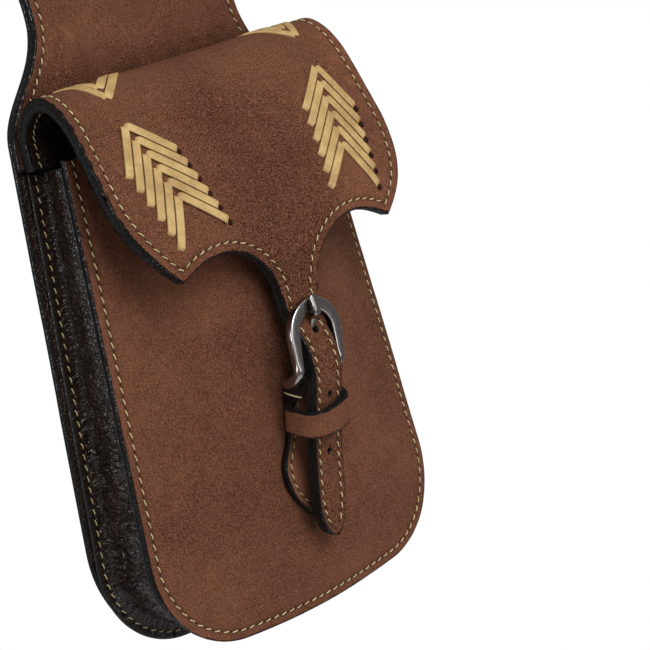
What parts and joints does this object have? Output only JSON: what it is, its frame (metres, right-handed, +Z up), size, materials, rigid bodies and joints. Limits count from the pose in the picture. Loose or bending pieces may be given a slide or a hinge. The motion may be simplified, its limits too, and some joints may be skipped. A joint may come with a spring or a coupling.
{
  "type": "saddle horn bag",
  "caption": "Rough-out leather saddle horn bag: a gusseted pocket under a scalloped, laced flap with a buckled strap, hung from a yoke with a round horn hole.",
  "frame": {"origin": "centre of the horn hole in the yoke, in the seam plane between the backing and the yoke facing", "axes": "+Z up as the bag hangs, -Y out of the bag's front, +X to the right seen from the front"},
  "size_m": [0.1592, 0.0728, 0.403],
  "materials": {
    "suede": "rough-out nap",
    "black_leather": "soft grain, dull sheen",
    "lace": "smooth pale gold",
    "dark_nickel": "dark plated, bright worn edges"
  },
  "bodies": {
    "root": {"back_panel": "black_leather", "yoke_facing": "suede", "gusset": "black_leather", "front_panel": "suede", "flap": "suede", "flap_lining": "black_leather", "buckle_chape": "suede", "strap_keeper": "suede", "buckle_frame": "dark_nickel", "buckle_prong": "dark_nickel", "lace_left_1": "lace", "lace_left_2": "lace", "lace_left_3": "lace", "lace_left_4": "lace", "lace_left_5": "lace", "lace_left_6": "lace", "lace_fold_left_1": "lace", "lace_fold_left_2": "lace", "lace_right_1": "lace", "lace_right_2": "lace", "lace_right_3": "lace", "lace_right_4": "lace", "lace_right_5": "lace", "lace_right_6": "lace", "lace_fold_right_1": "lace", "lace_fold_right_2": "lace"}
  },
  "joints": []
}
